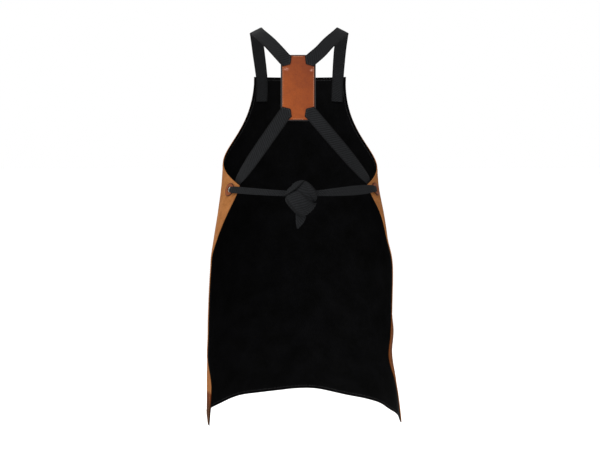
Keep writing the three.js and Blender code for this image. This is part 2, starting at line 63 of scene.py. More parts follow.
LOOK_DOWN = 5.5
camera = bpy.data.objects.new("camera", bpy.data.cameras.new("camera"))
camera.data.lens = 60
camera.data.sensor_width = 36
camera.location = (0, -2.4, -0.238)
camera.rotation_euler = (math.radians(90 - LOOK_DOWN), 0, 0)
scene.collection.objects.link(camera)
scene.camera = camera


def linear(colour):
    """A colour given as sRGB hex, as the linear colour that a shader takes."""
    channels = [int(colour[i:i + 2], 16) / 255 for i in (1, 3, 5)]
    return [c / 12.92 if c <= 0.04045 else ((c + 0.055) / 1.055) ** 2.4 for c in channels] + [1]


def fill(node, inputs):
    """Gives each named input of a node a link from another node's output, a colour as hex, or a value.
    A range, under From or To, goes to the two inputs of that name with Min and Max."""
    for socket, value in inputs.items():
        if socket in ("From", "To"):
            fill(node, {socket + " Min": value[0], socket + " Max": value[1]})
        elif isinstance(value, bpy.types.NodeSocket):
            node.id_data.links.new(value, node.inputs[socket])
        else:
            node.inputs[socket].default_value = linear(value) if isinstance(value, str) else value


def add_node(tree, kind, inputs=None, output=0, **settings):
    """Adds a shader node with its settings and inputs, and gives back one of its outputs."""
    made = tree.nodes.new("ShaderNode" + kind)
    for name, value in settings.items():
        setattr(made, name, value)
    fill(made, inputs or {})
    return made.outputs[output]


def new_material(name):
    """A new material, with its node tree and its main shader."""
    made = bpy.data.materials.new(name)
    made.use_nodes = True
    return made, made.node_tree, made.node_tree.nodes["Principled BSDF"]


ROOM_LIGHT = 0.42
world = bpy.data.worlds.new("white studio")
world.use_nodes = True
scene.world = world
# The room shows pure white behind the apron, and lights it a little less strongly than that.
seen = add_node(world.node_tree, "LightPath", output="Is Camera Ray")
brightness = add_node(world.node_tree, "MapRange", {"Value": seen, "To": (ROOM_LIGHT, 1)})
fill(world.node_tree.nodes["Background"], {"Color": "#ffffff", "Strength": brightness})

broad = bpy.data.objects.new("broad light", bpy.data.lights.new("broad light", "SUN"))
broad.data.energy = 2.85
broad.data.angle = math.radians(60)
broad.rotation_euler = (math.radians(42), 0, math.radians(-14))
scene.collection.objects.link(broad)
LAMPS = [
    {"name": "side", "place": (-2.4, -1.4, 0.3), "size": 1.2, "power": 16},
    {"name": "front", "place": (-0.6, 2.6, 0.8), "size": 1.8, "power": 45},
]
middle = (cad_box[0] + cad_box[1]) / 2
for row in LAMPS:
    lamp = bpy.data.objects.new(row["name"], bpy.data.lights.new(row["name"], "AREA"))
    lamp.data.size = row["size"]
    lamp.data.energy = row["power"]
    lamp.location = row["place"]
    lamp.rotation_euler = (middle - lamp.location).to_track_quat("-Z", "Y").to_euler()
    scene.collection.objects.link(lamp)

FLOOR_LEVEL = -1.45
FLOOR_HALF = 30
floor_mesh = bpy.data.meshes.new("floor")
square = [(-1, -1), (1, -1), (1, 1), (-1, 1)]
corners = [(x * FLOOR_HALF, y * FLOOR_HALF, FLOOR_LEVEL) for x, y in square]
floor_mesh.from_pydata(corners, [], [range(4)])
floor = bpy.data.objects.new("floor", floor_mesh)
scene.collection.objects.link(floor)
# Matt white paint: an even pale ground with no gloss.
paint, tree, shader = new_material("matt white paint")
fill(shader, {"Base Color": "#fcfcfc", "Roughness": 0.9})
floor_mesh.materials.append(paint)


# Suede panel
# The body of the apron is one piece of split cowhide suede: bib, armholes, two side tabs and skirt.
# It is cut flat, lined, topstitched near its edge, and hangs in the curve that the ties pull it into.

MM = 0.001
SUEDE_THICK = 1.6
HALF_WIDTH = 345
BIB_HALF_WIDTH = 118
BIB_TOP = -105
TAB_CORNER = -352
HEM = -890
# The armhole is a cubic curve from the bib side to the tab corner, as half width and level.
ARMHOLE = np.array([(BIB_HALF_WIDTH, -122), (126, -248), (225, -304), (HALF_WIDTH, TAB_CORNER)], float)

# Level sections that the suede wraps round: half ellipses before and behind their widest point.
# front and widest are Y positions, back is a depth, and turn is how far the cloth is pulled to the left.
SECTIONS = {
    "level": [-105, -230, -352, -415, -480, -520, -640, -690, -740, -800, -890],
    "half_width": [165, 178, 186, 195, 204, 208, 214, 218, 218, 224, 229],
    "shift": [0, 0, 0, 1, 1, 1, 2, 5, 1, 1, 4],
    "front": [112, 126, 132, 134, 131, 128, 120, 116, 113, 109, 104],
    "widest": [-5, -5, -3, -8, -25, -45, -60, -61, -62, -62, -62],
    "back": [110, 118, 128, 150, 190, 240, 300, 300, 300, 300, 300],
    "turn": [0, 4, 9, 9, 7, 4, 2, 1, 0, 0, 0],
}
# How far the side edges drop below the middle, and how far they curl inwards.
SIDE_EDGES = {
    "level": [-105, -352, -415, -480, -540, -640, -690, -740, -800, -890],
    "drop_left": [0, 10, 13, 16, 19, 24, 27, 30, 33, 38],
    "drop_right": [0, 8, 11, 13, 16, 20, 22, 25, 27, 30],
    "curl_left": [0, 0, -6, -6, -2, -2, -3, -1, 12, 9],
    "curl_right": [0, -5, -12, -7, -7, 0, 9, 9, -1, -6],
}
CURL_REACH = 95
# Soft folds down the skirt: place across the cloth, width, height at the hem and level of the top.
FOLDS = [
    {"across": -262, "width": 34, "height": 7, "top": -560},
    {"across": -170, "width": 40, "height": 9, "top": -520},
    {"across": -78, "width": 44, "height": -8, "top": -600},
    {"across": 14, "width": 46, "height": 7, "top": -560},
    {"across": 108, "width": 42, "height": -8, "top": -520},
    {"across": 196, "width": 40, "height": 9, "top": -540},
    {"across": 280, "width": 32, "height": 6, "top": -600},
]
# Slight unevenness of the hide, as waves that cross each other: lengths across and down, and height.
RIPPLES = [
    {"across": 150, "down": 420, "height": 0.7},
    {"across": -95, "down": 260, "height": 0.5},
    {"across": 61, "down": -190, "height": 0.35},
]
RIPPLE_TOP = -430
RIPPLE_FADE = 120
# How far round a section is worked out, and how far apart the places are that give the panel's normal.
SECTION_DEGREES = 200
NORMAL_REACH = 2


def smooth(value, low, high):
    """0 below low, 1 above high, and a smooth rise between them."""
    t = np.clip((value - low) / (high - low), 0, 1)
    return t * t * (3 - 2 * t)


def cubic(t, start, start_slope, end, end_slope):
    """A cubic curve from a start to an end, with its slopes there. t runs from 0 to 1."""
    return (
        start * (2 * t**3 - 3 * t**2 + 1)
        + start_slope * (t**3 - 2 * t**2 + t)
        + end * (3 * t**2 - 2 * t**3)
        + end_slope * (t**3 - t**2)
    )


def column(table, name, level):
    """A table's column at one level, by cubic interpolation down its rows."""
    levels, values = np.array(table["level"], float), np.array(table[name], float)
    last = len(levels) - 1
    i = int(np.clip(np.searchsorted(-levels, -level, side="right") - 1, 0, last - 1))
    before, after = max(i - 1, 0), min(i + 2, last)
    span = levels[i + 1] - levels[i]
    t = np.clip((level - levels[i]) / span, 0, 1)
    slope_in = (values[i + 1] - values[before]) / (levels[i + 1] - levels[before])
    slope_out = (values[after] - values[i]) / (levels[after] - levels[i])
    return cubic(t, values[i], slope_in * span, values[i + 1], slope_out * span)


def unit(vectors):
    """Vectors of length 1 with the same directions."""
    return vectors / np.linalg.norm(vectors, axis=-1, keepdims=True)


def run_along(points):
    """How far along the line through some points each of them lies."""
    return np.concatenate([[0], np.cumsum(np.linalg.norm(np.diff(points, axis=0), axis=1))])


def on_section(level, length):
    """Where lengths of cloth from the middle of the front end up on the section at one level."""
    angle = np.radians(np.arange(SECTION_DEGREES))
    widest = column(SECTIONS, "widest", level)
    front = column(SECTIONS, "front", level) - widest
    depth = np.where(angle < math.pi / 2, front, column(SECTIONS, "back", level))
    x = column(SECTIONS, "half_width", level) * np.sin(angle)
    y = widest + depth * np.cos(angle)
    run = run_along(np.stack([x, y], -1))
    far = np.abs(length)
    aside = np.sign(length) * np.interp(far, run, x)
    return column(SECTIONS, "shift", level) + aside, np.interp(far, run, y)


def panel_row(across, level):
    """Points of the suede's inner face at one level, from places across the cut cloth."""
    length = across - column(SECTIONS, "turn", level)
    x, y = on_section(level, length)
    ahead_x, ahead_y = on_section(level, length + 1)
    outward = unit(np.stack([y - ahead_y, ahead_x - x], -1))
    left = across < 0
    reach = np.maximum(0, np.abs(across) - HALF_WIDTH + CURL_REACH) / CURL_REACH
    curl = np.where(left, column(SIDE_EDGES, "curl_left", level), column(SIDE_EDGES, "curl_right", level))
    rise = -curl * reach**2
    for fold in FOLDS:
        grown = smooth(fold["top"] - level, 0, fold["top"] - HEM)
        rise += fold["height"] * grown * np.exp(-(((across - fold["across"]) / fold["width"]) ** 2))
    for ripple in RIPPLES:
        wave = np.sin(2 * math.pi * (across / ripple["across"] + level / ripple["down"]))
        rise += ripple["height"] * wave * smooth(RIPPLE_TOP - level, 0, RIPPLE_FADE)
    share = np.abs(across) / HALF_WIDTH
    to_edge = np.where(left, share**2, smooth(share, 0, 1))
    drop = np.where(left, column(SIDE_EDGES, "drop_left", level), column(SIDE_EDGES, "drop_right", level))
    x, y = x + rise * outward[..., 0], y + rise * outward[..., 1]
    return np.stack([x, y, level - drop * to_edge], -1)


def panel_points(across, level):
    """Points of the suede's inner face at any places on the cut cloth."""
    across, level = np.broadcast_arrays(np.asarray(across, float), np.asarray(level, float))
    points = np.empty(across.shape + (3,))
    for value in np.unique(level):
        here = level == value
        points[here] = panel_row(across[here], value)
    return points


def panel_frame(across, level, out=0.0):
    """The same points moved out along the panel's normal, and that normal."""
    across, level = np.asarray(across, float), np.asarray(level, float)
    sideways = panel_points(across + NORMAL_REACH, level) - panel_points(across - NORMAL_REACH, level)
    down = panel_points(across, level - NORMAL_REACH) - panel_points(across, level + NORMAL_REACH)
    normal = unit(np.cross(sideways, down))
    return panel_points(across, level) + normal * np.asarray(out)[..., None], normal


def armhole_point(t):
    """Half width and level on the armhole curve."""
    t = np.asarray(t, float)[..., None]
    parts = ((1 - t) ** 3, 3 * t * (1 - t) ** 2, 3 * t**2 * (1 - t), t**3)
    return sum(part * point for part, point in zip(parts, ARMHOLE))


def skin_faces(rows, ring, closed=False):
    """Faces of a skin over equal rings of points, with end caps unless it closes on its first ring."""
    r = np.arange(rows if closed else rows - 1)[:, None]
    k = np.arange(ring)[None, :]
    a, b = r * ring + k, r * ring + (k + 1) % ring
    step = (r + 1) % rows * ring
    c, d = step + (k + 1) % ring, step + k
    faces = np.stack([a, b, c, d], -1).reshape(-1, 4)
    if closed:
        return faces
    k = np.arange(ring // 2 - 1)
    cap = np.stack([k, ring - 1 - k, ring - 2 - k, k + 1], -1)
    return np.concatenate([faces, cap, (rows - 1) * ring + cap[:, ::-1]])


SHARP_ANGLE = math.radians(50)


def make_piece(name, points, faces, material, place=None):
    """A smooth closed mesh from points in millimetres. place says where each lies on its flat material."""
    points = np.asarray(points, float).reshape(-1, 3)
    a, b, c, d = (points[faces[:, i]] for i in range(4))
    volume = np.einsum("ij,ij->", a, np.cross(b, c)) + np.einsum("ij,ij->", a, np.cross(c, d))
    mesh = bpy.data.meshes.new(name)
    mesh.from_pydata((points * MM).tolist(), [], (faces if volume > 0 else faces[:, ::-1]).tolist())
    mesh.shade_smooth()
    mesh.set_sharp_from_angle(angle=SHARP_ANGLE)
    mesh.materials.append(material)
    if place is not None:
        held = mesh.attributes.new("place", "FLOAT_VECTOR", "POINT")
        held.data.foreach_set("vector", (np.asarray(place, float) * MM).astype(np.float32).ravel())
    piece = bpy.data.objects.new(name, mesh)
    scene.collection.objects.link(piece)
    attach(piece, "root")
    return piece


def make_layer(name, upper, lower, flat, material):
    """A piece between two faces, as equal grids of points, with their places on the flat material."""
    rings = np.concatenate([upper, lower[:, ::-1]], 1)
    place = np.concatenate([flat, flat[:, ::-1]], 1)
    return make_piece(name, rings, skin_faces(*rings.shape[:2]), material, place)


TOP_ROWS = 5
BIB_ROWS = 64
SKIRT_ROWS = 104
COLUMNS = 136


def panel_sheet(name, inner, outer, margin, material):
    """A sheet between two offsets from the panel, grown past the cut edge by a margin."""
    top = np.linspace(BIB_TOP, ARMHOLE[0, 1], TOP_ROWS, endpoint=False)
    bib = armhole_point(np.linspace(0, 1, BIB_ROWS, endpoint=False))
    skirt = np.linspace(TAB_CORNER, HEM, SKIRT_ROWS)
    levels = np.concatenate([top, bib[:, 1], skirt])
    half = np.concatenate([top * 0 + BIB_HALF_WIDTH, bib[:, 0], skirt * 0 + HALF_WIDTH])
    levels[0] += margin
    levels[-1] -= margin
    share = np.linspace(-1, 1, COLUMNS + 1)
    across = half[:, None] * share
    across[:, 0] -= margin
    across[:, -1] += margin
    level = np.broadcast_to(levels[:, None], across.shape)
    outside, inside = (panel_frame(across, level, out)[0] for out in (outer, inner))
    flat = np.stack([across, level, across * 0], -1)
    return make_layer(name, outside, inside, flat, material)


EYELET_FROM_EDGE = 27
EYELET_LEVEL = -364
HOLE_RADIUS = 7.4
HOLE_SIDES = 48
PUNCH_REACH = 12


def full_turn(count):
    """Angles of equal steps round a full turn."""
    return np.arange(count) * 2 * math.pi / count


def on_eyelet(side, radius, height, sides):
    """Rings of points round an eyelet's middle, by radius and by height above the panel's inner face."""
    point, normal = panel_frame(side * (HALF_WIDTH - EYELET_FROM_EDGE), EYELET_LEVEL)
    axes = np.array(Vector(normal).to_track_quat("Z", "Y").to_matrix())
    angle = full_turn(sides)
    circle = np.cos(angle)[:, None] * axes[:, 0] + np.sin(angle)[:, None] * axes[:, 1]
    radius, height = np.asarray(radius, float), np.asarray(height, float)
    return point + radius[:, None, None] * circle + height[:, None, None] * axes[:, 2]


def punch_eyelet_holes(piece):
    """Cuts the two round holes that the eyelets sit in, through triangles, so that no slivers are left.
    The cut loses the places on the flat material, so the nearest ones are put back."""
    whole = piece.data
    nearest = KDTree(len(whole.vertices))
    for point in whole.vertices:
        nearest.insert(point.co, point.index)
    nearest.balance()
    for side in (-1, 1):
        rings = on_eyelet(side, [HOLE_RADIUS] * 2, [-PUNCH_REACH, PUNCH_REACH], HOLE_SIDES)
        punch = make_piece("punch", rings, skin_faces(2, HOLE_SIDES), whole.materials[0])
        piece.modifiers.new("triangles", "TRIANGULATE")
        cut = piece.modifiers.new("punch", "BOOLEAN")
        cut.operation = "DIFFERENCE"
        cut.solver = "EXACT"
        cut.object = punch
        drawn = bpy.context.evaluated_depsgraph_get()
        piece.data = bpy.data.meshes.new_from_object(piece.evaluated_get(drawn))
        piece.modifiers.clear()
        bpy.data.objects.remove(punch)
    known = whole.attributes["place"].data
    for point, place in zip(piece.data.vertices, piece.data.attributes["place"].data):
        place.vector = known[nearest.find(point.co)[1]].vector
    bpy.data.meshes.remove(whole)


def size(millimetres):
    """The scale that gives a noise pattern features of a size on the real material."""
    return 1 / (millimetres * MM)


def oval(tree, place, row):
    """How far a place on the flat material lies from an oval's middle, as a share of its half sizes."""
    middle = (row["right"] * MM, row["up"] * MM, 0)
    half = (row["wide"] * MM, row["high"] * MM, 1)
    inside = {"Vector": place, "Location": middle, "Scale": half}
    local = add_node(tree, "Mapping", inside, vector_type="TEXTURE")
    return add_node(tree, "VectorMath", {0: local}, "Value", operation="LENGTH")


# Settings of nodes: places on the flat material, a blend of two colours, and their product.
PLACE = {"output": "Vector", "attribute_name": "place"}
BLEND = {"output": 2, "data_type": "RGBA"}
TIMES = {**BLEND, "blend_type": "MULTIPLY"}

# Suede: a brushed nap with no gloss. It lies lighter or darker in patches, the fibres give a fine grain, and
# the raised nap a soft sheen at the turn. Fibres are drawn at 3 mm, because real ones are too fine to show.
suede, tree, shader = new_material("split cowhide suede")
place = add_node(tree, "Attribute", **PLACE)
patches = add_node(tree, "TexNoise", {"Vector": place, "Scale": size(22), "Detail": 6, "Roughness": 0.68})
fibres = add_node(tree, "TexNoise", {"Vector": place, "Scale": size(3), "Detail": 4, "Roughness": 0.7})
nap = add_node(tree, "MapRange", {"Value": patches, "From": (0.3, 0.7)})
marked_and_shaded = add_node(tree, "Mix", {0: nap, 6: "#7f4f28", 7: "#9b663a"}, **BLEND)
# A rust-brown oval lies at the left corner of the hem. Painted shade darkens that corner to dark brown where
# it curls in, and darkens the right edge above it to a duller brown. Each is an oval on the flat suede, and
# the nap breaks up its edge.
MARKS_AND_PAINTED_SHADE = [
    {"right": -HALF_WIDTH, "up": HEM, "wide": 68, "high": 79, "soft": 0.14, "colour": "#5a2a0e"},
    # Painted shade: the corner of the hem where it curls in.
    {"right": -HALF_WIDTH, "up": HEM, "wide": 58, "high": 62, "soft": 0.5, "colour": "#3a200f"},
    # Painted shade: the lower right edge, which faces away from the light.
    {"right": HALF_WIDTH, "up": -705, "wide": 80, "high": 130, "soft": 0.7, "colour": "#623312"},
]
RAGGED = 0.25
reach = 1 + RAGGED / 2
for row in MARKS_AND_PAINTED_SHADE:
    away = oval(tree, place, row)
    ragged = add_node(tree, "Math", {0: patches, 1: RAGGED, 2: away}, operation="MULTIPLY_ADD")
    fade = {"Value": ragged, "From": (reach, reach - row["soft"])}
    mark_and_shade = add_node(tree, "MapRange", fade, interpolation_type="SMOOTHSTEP")
    marked_and_shaded = add_node(tree, "Mix", {0: mark_and_shade, 6: marked_and_shaded, 7: row["colour"]}, **BLEND)
grain = add_node(tree, "MapRange", {"Value": fibres, "From": (0.25, 0.75), "To": (0.72, 1.22)})
grained = add_node(tree, "Mix", {0: 1, 6: marked_and_shaded, 7: grain}, **TIMES)
fuzz = add_node(tree, "Bump", {"Height": fibres, "Strength": 0.5, "Distance": 0.8 * MM})
fill(shader, {"Base Color": grained, "Normal": fuzz, "Roughness": 0.95, "Specular IOR Level": 0.05})
fill(shader, {"Sheen Weight": 0.02, "Sheen Roughness": 0.5, "Sheen Tint": "#e0b48c"})

panel = panel_sheet("suede_body", 0, SUEDE_THICK, 0, suede)
punch_eyelet_holes(panel)
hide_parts("suede_panel")


# Lining
# A black cotton twill of the same cut lies against the inside of the suede, and is sewn to it along the edge.
# It shows past the raw edge of the suede as a narrow dark line.

LINING_THICK = 1.0
LINING_GAP = 0.3
LINING_EDGE = 1.0


def bands(millimetres):
    """The scale that gives a wave pattern bands of a pitch on the real material."""
    return 2 * math.pi / (20 * millimetres * MM)


# Cotton twill: close diagonal ribs that soften the light, hardly any gloss, and faint rubbed places.
# The ribs are drawn at 3 mm, because real ones of half a millimetre are too fine to show.
twill, tree, shader = new_material("black cotton twill")
place = add_node(tree, "Attribute", **PLACE)
slant = add_node(tree, "Mapping", {"Vector": place, "Rotation": (0, 0, math.radians(45))})
weave = {"Vector": slant, "Scale": bands(3), "Distortion": 1.2, "Detail": 2, "Detail Scale": 2}
ribs = add_node(tree, "TexWave", weave, "Fac")
rubbed = add_node(tree, "TexNoise", {"Vector": place, "Scale": size(55), "Detail": 5, "Roughness": 0.65})
wear = add_node(tree, "MapRange", {"Value": rubbed, "From": (0.35, 0.7)})
black = add_node(tree, "Mix", {0: wear, 6: "#030303", 7: "#080809"}, **BLEND)
ribbed = add_node(tree, "MapRange", {"Value": ribs, "To": (0.7, 1.2)})
woven = add_node(tree, "Mix", {0: 1, 6: black, 7: ribbed}, **TIMES)
relief = add_node(tree, "Bump", {"Height": ribs, "Strength": 0.35, "Distance": 0.5 * MM})
fill(shader, {"Base Color": woven, "Normal": relief, "Roughness": 0.9, "Specular IOR Level": 0.03})

lining = panel_sheet("lining_cloth", -LINING_GAP - LINING_THICK, -LINING_GAP, LINING_EDGE, twill)
punch_eyelet_holes(lining)
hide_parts("lining")


# Edge stitching
# Lockstitch in waxed thread holds suede and lining together, in one row 6 mm from the cut edge all round.
# The same thread sews the shoulder straps inside the bib, as a box with a cross in it.

STITCH_INSET = 6
STITCH_PITCH = 4.0
THREAD_RADIUS = 0.42
# A stitch from end to end: its half length as a share of the pitch, its lift and thickness of the radius.
STITCH_HALF = 0.38
STITCH_LIFT = np.array([-0.9, 0.35, 0.6, 0.35, -0.9])
STITCH_THICK = np.array([0.55, 0.95, 1.0, 0.95, 0.55])
STITCH_RINGS = len(STITCH_LIFT)
THREAD_SIDES = 6


def blend(at, known_at, values):
    """Rows of values at any places, by straight lines between the rows at known places."""
    return np.stack([np.interp(at, known_at, held) for held in np.transpose(values)], -1)


def even_steps(points, step):
    """The same line through points, with a point every step or so."""
    points = np.asarray(points, float)
    run = run_along(points)
    return blend(np.linspace(0, run[-1], max(2, int(run[-1] / step) + 1)), run, points)


def stitches(path, normal):
    """Points of a row of stitches along a line. Each is a short arched thread whose ends dip in."""
    run = run_along(path)
    count = max(1, int(run[-1] / STITCH_PITCH))
    centre = (np.arange(count) + 0.5) * run[-1] / count
    at = centre[:, None] + STITCH_PITCH * np.linspace(-STITCH_HALF, STITCH_HALF, STITCH_RINGS)
    spot = blend(at, run, path)
    up = unit(blend(at, run, normal))
    side = np.cross(up, unit(np.gradient(spot, axis=1)))
    lift = THREAD_RADIUS * STITCH_LIFT
    thick = THREAD_RADIUS * STITCH_THICK
    turn = full_turn(THREAD_SIDES)
    ring = np.cos(turn)[:, None] * up[:, :, None] + np.sin(turn)[:, None] * side[:, :, None]
    return (spot + up * lift[:, None])[:, :, None] + ring * thick[:, None, None]


def sew(name, rows, material):
    """One piece of all the stitches along rows of (line, normals)."""
    points = np.concatenate([stitches(*row) for row in rows])
    faces = skin_faces(STITCH_RINGS, THREAD_SIDES)
    faces = faces + np.arange(len(points))[:, None, None] * STITCH_RINGS * THREAD_SIDES
    piece = make_piece(name, points, faces.reshape(-1, 4), material)


def thread_material(name, colour):
    """Waxed polyester thread: twisted, with a low gloss that catches the light along its top."""
    made, tree, shader = new_material(name)
    strands = add_node(tree, "TexNoise", {"Scale": size(1.5), "Detail": 2})
    tone = add_node(tree, "MapRange", {"Value": strands, "To": (0.75, 1.2)})
    twist = add_node(tree, "Mix", {0: 1, 6: colour, 7: tone}, **TIMES)
    fill(shader, {"Base Color": twist, "Roughness": 0.55})
    return made


tan_thread = thread_material("tan waxed thread", "#8a5a36")
black_thread = thread_material("black waxed thread", "#161617")

ARMHOLE_STEPS = 80
SEAM_STEP = 6
TAB_GAP = 1
edge = armhole_point(np.linspace(0, 1, ARMHOLE_STEPS))
slope = np.gradient(edge, axis=0)
edge = edge + STITCH_INSET * unit(np.stack([slope[:, 1], -slope[:, 0]], -1))
edge = edge[(edge[:, 0] < HALF_WIDTH - STITCH_INSET) & (edge[:, 1] < ARMHOLE[0, 1])]
top, bottom, beside = BIB_TOP - STITCH_INSET, HEM + STITCH_INSET, HALF_WIDTH - STITCH_INSET
half_outline = np.concatenate([
    [(0, top), (BIB_HALF_WIDTH - STITCH_INSET, top)],
    edge,
    [(beside, edge[-1, 1] - TAB_GAP), (beside, bottom), (0, bottom)],
])
outline = np.concatenate([half_outline, half_outline[::-1] * (-1, 1)])
seam = even_steps(outline, SEAM_STEP)
seam_in, seam_normal = panel_frame(*seam.T, -LINING_GAP - LINING_THICK)

BOX_STITCH = {"across": 98, "half_width": 11, "top": -122, "bottom": -158}
BOX_STEP = 3
rows = [panel_frame(*seam.T, SUEDE_THICK)]
for side in (-1, 1):
    low, high = BOX_STITCH["bottom"], BOX_STITCH["top"]
    left, right = (side * BOX_STITCH["across"] + turn * BOX_STITCH["half_width"] for turn in (-1, 1))
    for line in (
        [(left, low), (right, low), (right, high), (left, high), (left, low)],
        [(left, low), (right, high)],
        [(left, high), (right, low)],
    ):
        rows.append(panel_frame(*even_steps(line, BOX_STEP).T, SUEDE_THICK))
sew("topstitching", rows, tan_thread)
sew("inner_stitching", [(seam_in, -seam_normal)], black_thread)


# Shoulder straps
# Two lengths of black cotton webbing, 30 mm wide, sewn inside the bib's top corners. They go over the top
# and end in a point on the yoke, where they are sewn down.

STRAP_WIDTH = 30
STRAP_THICK = 1.5
SHOULDER_X = -2
YOKE_CENTRE = np.array([-4, -119, -139.5])
YOKE_LEAN = math.radians(4.7)
YOKE_RIGHT = np.array([1, 0, 0])
YOKE_NORMAL = np.array([0, -math.cos(YOKE_LEAN), math.sin(YOKE_LEAN)])
YOKE_UP = np.array([0, math.sin(YOKE_LEAN), math.cos(YOKE_LEAN)])
BACKING_THICK = 1.6
LEATHER_THICK = 2.2
LAYER_GAP = 0.3
YOKE_STACK = BACKING_THICK + LEATHER_THICK + 2 * LAYER_GAP

# The left strap's way over the top: out from the middle, Y, Z, and the way its outer face looks.
SHOULDER_ROUTE = [
    {"out": 99, "y": 66, "z": -45, "normal": (-0.2, 0.75, 0.6)},
    {"out": 103, "y": 27, "z": -7, "normal": (-0.38, 0.42, 0.82)},
    {"out": 103, "y": -6, "z": 0, "normal": (-0.46, 0, 0.89)},
    {"out": 92, "y": -47, "z": -12, "normal": (-0.38, -0.5, 0.78)},
    {"out": 67.5, "y": -92, "z": -36, "normal": (-0.2, -0.84, 0.5)},
    {"out": 46.5, "y": -118.5, "z": -59.5, "normal": (-0.03, -0.98, 0.17)},
]
BIB_END = {"across": 98, "levels": (-163, -118), "out": -4}
TOP_END = {"right": 30, "up": 64, "tip_right": 18, "tip_up": 53.5}
LOW_END = {"right": 30, "up": -59, "tip_right": 18, "tip_up": -48}
POINT_LENGTH = 9
POINT_WIDTH = 3


def on_yoke(right, up, out):
    """Points from the yoke's middle: to the right, up it, and out from its inner face."""
    aside, risen = np.multiply.outer(right, YOKE_RIGHT), np.multiply.outer(up, YOKE_UP)
    return YOKE_CENTRE + aside + risen + np.multiply.outer(out, YOKE_NORMAL)


def station(point, normal, width=STRAP_WIDTH, thick=STRAP_THICK):
    """A place on a strap's way: its middle, the way its outer face looks, its width and its thickness."""
    return {"point": np.array(point, float), "normal": normal, "section": (width, thick)}


def pointed_end(end, side):
    """The last stations of a strap on the yoke, from the yoke's corner to the tip."""
    out = YOKE_STACK + STRAP_THICK / 2
    corner = on_yoke(side * end["right"], end["up"], out)
    tip = on_yoke(side * end["tip_right"], end["tip_up"], out)
    taper = tip + POINT_LENGTH * unit(corner - tip)
    full = [station(point, YOKE_NORMAL) for point in (corner, taper)]
    return full + [station(tip, YOKE_NORMAL, POINT_WIDTH)]


def curve_through(points, steps):
    """Points on a smooth curve through some points, with the same number of steps between each two."""
    points = np.concatenate([[2 * points[0] - points[1]], points, [2 * points[-1] - points[-2]]])
    made = []
    for p0, p1, p2, p3 in zip(points, points[1:], points[2:], points[3:]):
        d0, d1, d2 = (math.sqrt(np.linalg.norm(b - a)) for a, b in ((p0, p1), (p1, p2), (p2, p3)))
        leave = d1 * ((p1 - p0) / d0 - (p2 - p0) / (d0 + d1)) + (p2 - p1)
        arrive = (p2 - p1) + d1 * ((p3 - p2) / d2 - (p3 - p1) / (d1 + d2))
        t = np.linspace(0, 1, steps, endpoint=False)[:, None]
        made.append(cubic(t, p1, leave, p2, arrive))
    return np.concatenate(made + [points[-2:-1]])


STEPS_BETWEEN = 14
POINTS_ACROSS = 19
# The selvedges are thinner than the middle. Webbing that is this much thicker than one layer is fully folded.
SELVEDGE_LOSS = 0.24
FOLDED_EXTRA = 2.5
FOLD_DEPTH = 0.13


def webbing(name, stations, material):
    """A strap through stations. Where it is drawn together, it is folded along its length."""
    line = curve_through(np.array([s["point"] for s in stations]), STEPS_BETWEEN)
    at = np.arange(len(line)) / STEPS_BETWEEN
    known_at = np.arange(len(stations))
    along = unit(np.gradient(line, axis=0))
    normal = blend(at, known_at, [s["normal"] for s in stations])
    normal = unit(normal - along * np.sum(normal * along, -1, keepdims=True))
    across = np.cross(normal, along)
    width, thick = blend(at, known_at, [s["section"] for s in stations]).T
    u = np.linspace(-1, 1, POINTS_ACROSS)
    rounded = 0.5 - SELVEDGE_LOSS * u**8
    folded = np.clip((thick - STRAP_THICK) / FOLDED_EXTRA, 0, 1)[:, None]
    fold = folded * FOLD_DEPTH * (1 - np.cos(3 * math.pi * u)) * (1 - u**8)
    half_thick = thick[:, None] * (rounded - fold)
    face = line[:, None] + across[:, None] * (u * width[:, None] / 2)[..., None]
    rise = normal[:, None] * half_thick[..., None]
    real = np.clip(width[:, None], STRAP_WIDTH * folded, None) * u / 2
    flat = np.stack(np.broadcast_arrays(real, run_along(line)[:, None], 0), -1)
    piece = make_layer(name, face + rise, face - rise, flat, material)
    return piece


# Cotton webbing: heavy diagonal ribs between two close selvedges, black with a dull grey bloom on the ribs.
# Its edges are darkened to half: darker selvedges, and painted shade where the knot's wraps meet.
# The ribs are drawn at 5 mm, because real ones of about 1 mm are too fine to show.
cotton, tree, shader = new_material("black cotton webbing")
place = add_node(tree, "Attribute", **PLACE)
slant = add_node(tree, "Mapping", {"Vector": place, "Rotation": (0, 0, math.radians(58))})
weave = {"Vector": slant, "Scale": bands(5), "Distortion": 1.5, "Detail": 2, "Detail Scale": 1.5}
ribs = add_node(tree, "TexWave", weave, "Fac")
streaks = add_node(tree, "TexNoise", {"Vector": slant, "Scale": size(7), "Detail": 3, "Roughness": 0.6})
sideways = add_node(tree, "SeparateXYZ", {"Vector": place}, "X")
from_middle = add_node(tree, "Math", {0: sideways}, operation="ABSOLUTE")
# Darker selvedges, and painted shade at the edges of the knot's wraps where they tuck under each other.
selvedge_and_painted_shade = add_node(tree, "MapRange", {"Value": from_middle, "From": (11.5 * MM, 13 * MM), "To": (1, 0.5)})
lit_ribs = add_node(tree, "MapRange", {"Value": ribs, "To": (0.55, 1.5)})
black = add_node(tree, "Mix", {0: streaks, 6: "#0b0c0d", 7: "#17181a"}, **BLEND)
ribbed = add_node(tree, "Mix", {0: 1, 6: black, 7: lit_ribs}, **TIMES)
edged_and_shaded = add_node(tree, "Mix", {0: 1, 6: ribbed, 7: selvedge_and_painted_shade}, **TIMES)
relief = add_node(tree, "Bump", {"Height": ribs, "Strength": 0.5, "Distance": 0.6 * MM})
fill(shader, {"Base Color": edged_and_shaded, "Normal": relief, "Roughness": 0.85, "Specular IOR Level": 0.15})
fill(shader, {"Sheen Weight": 0.01, "Sheen Roughness": 0.4})

